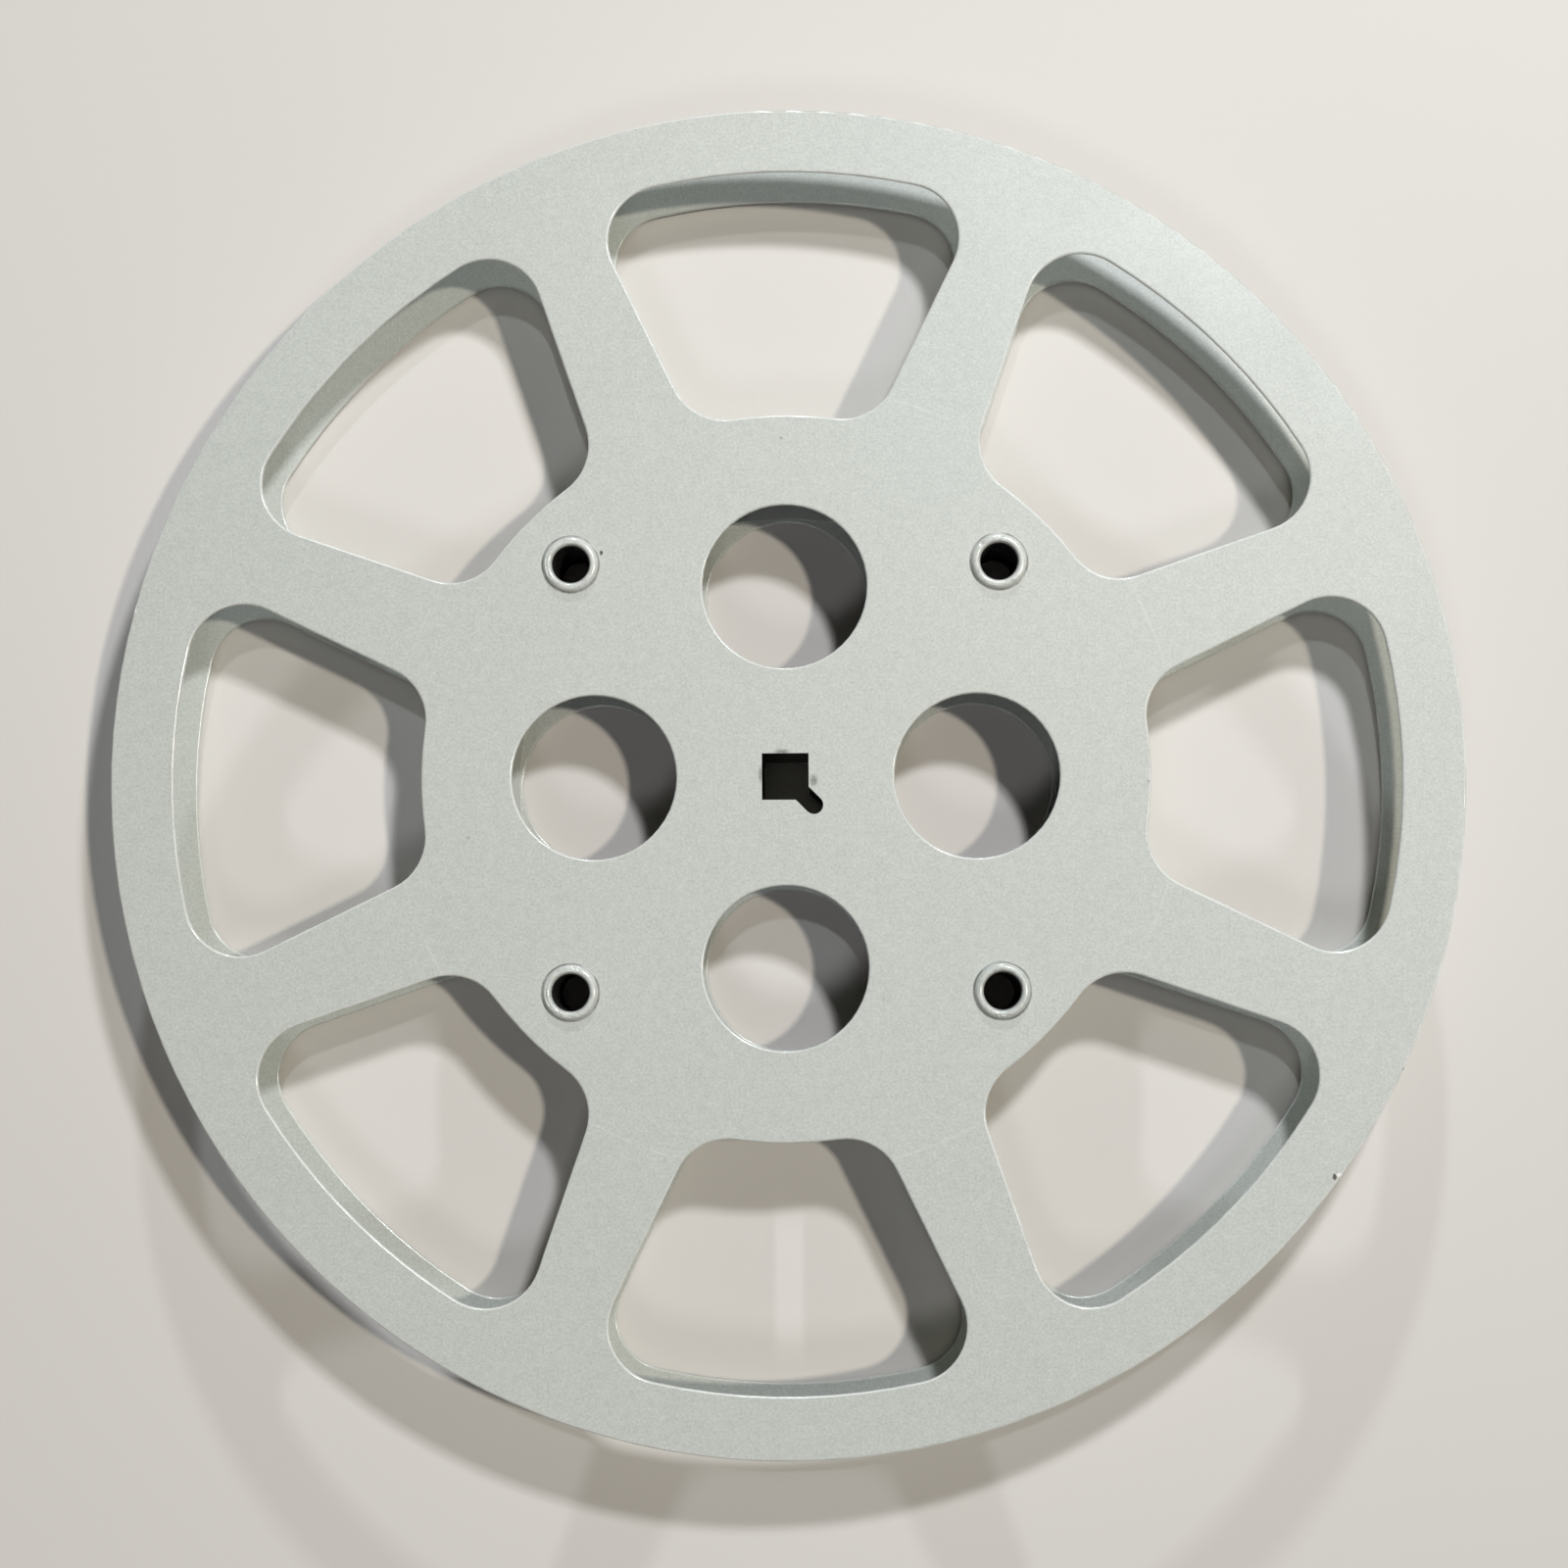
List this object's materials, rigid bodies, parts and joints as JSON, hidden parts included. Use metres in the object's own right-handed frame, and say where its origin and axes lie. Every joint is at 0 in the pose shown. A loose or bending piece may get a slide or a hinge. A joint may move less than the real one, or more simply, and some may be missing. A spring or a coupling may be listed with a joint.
{
  "type": "film reel",
  "caption": "Open flanged sheet-steel film reel with rounded windows, finger holes, a keyed square spindle hole and a riveted core drum.",
  "frame": {"origin": "spindle axis, at the plane the reel rests on when it lies flat (crowns of the lower rivet heads)", "axes": "+Z along the spindle axis, away from the surface it lies on; the keyways point between +X and -Y; windows are centred on +X, +Y, -X and -Y"},
  "size_m": [0.235, 0.235, 0.0204],
  "materials": {
    "flange_enamel": "pale grey baked enamel, satin, fine orange peel",
    "core_enamel": "pale grey baked enamel, satin",
    "rivet_enamel": "pale grey baked enamel over rolled steel"
  },
  "bodies": {
    "root": {"upper_flange": "flange_enamel", "lower_flange": "flange_enamel", "core_drum": "core_enamel", "tubular_rivet_1": "rivet_enamel", "tubular_rivet_2": "rivet_enamel", "tubular_rivet_3": "rivet_enamel", "tubular_rivet_4": "rivet_enamel"}
  },
  "joints": []
}
